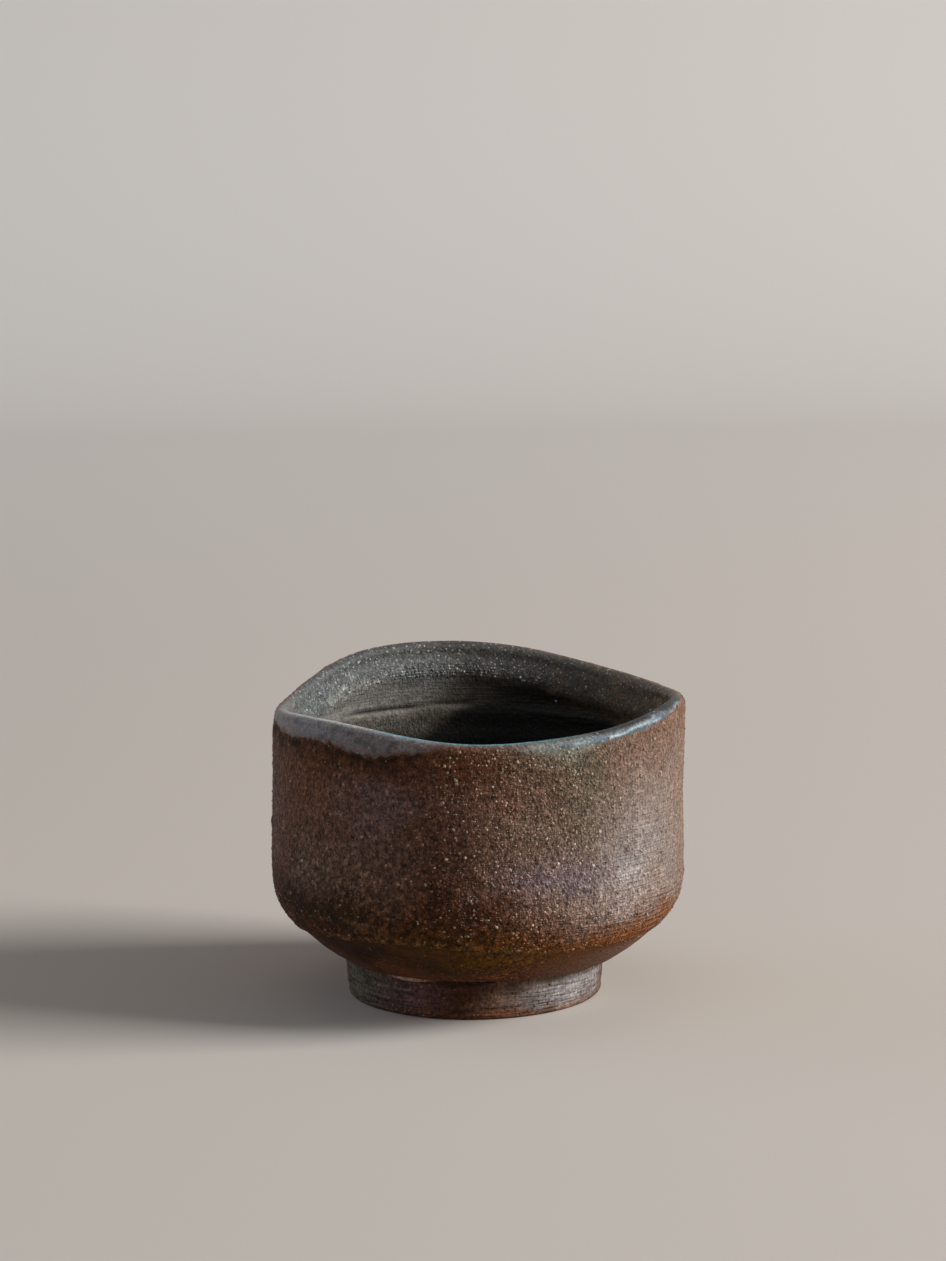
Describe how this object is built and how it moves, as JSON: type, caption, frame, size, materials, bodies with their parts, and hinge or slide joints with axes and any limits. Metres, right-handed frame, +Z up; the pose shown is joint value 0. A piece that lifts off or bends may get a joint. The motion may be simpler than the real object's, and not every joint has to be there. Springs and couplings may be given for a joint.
{
  "type": "guinomi sake cup",
  "caption": "Small wood-fired stoneware sake cup with a rounded bowl, a gently waving hand-altered lip and a low round foot ring.",
  "frame": {"origin": "centre of the foot ring's resting face", "axes": "+Z up, +X to the right as pictured, +Y away from the camera"},
  "size_m": [0.0701, 0.0696, 0.0547],
  "materials": {
    "fired_clay": "unglazed wood-fired stoneware with feldspar grit, flashed from purple-brown to grey-pink and orange",
    "foot_clay": "trimmed unglazed stoneware with a thin silvery ash sheen",
    "slip_clay": "fired clay slip, matt and a little paler",
    "ash_glaze": "thin natural wood-ash glaze, grey-green and half glossy"
  },
  "bodies": {
    "root": {"bowl": "fired_clay", "foot_ring": "foot_clay", "joint_slip": "slip_clay", "lip_ash_glaze": "ash_glaze"}
  },
  "joints": []
}
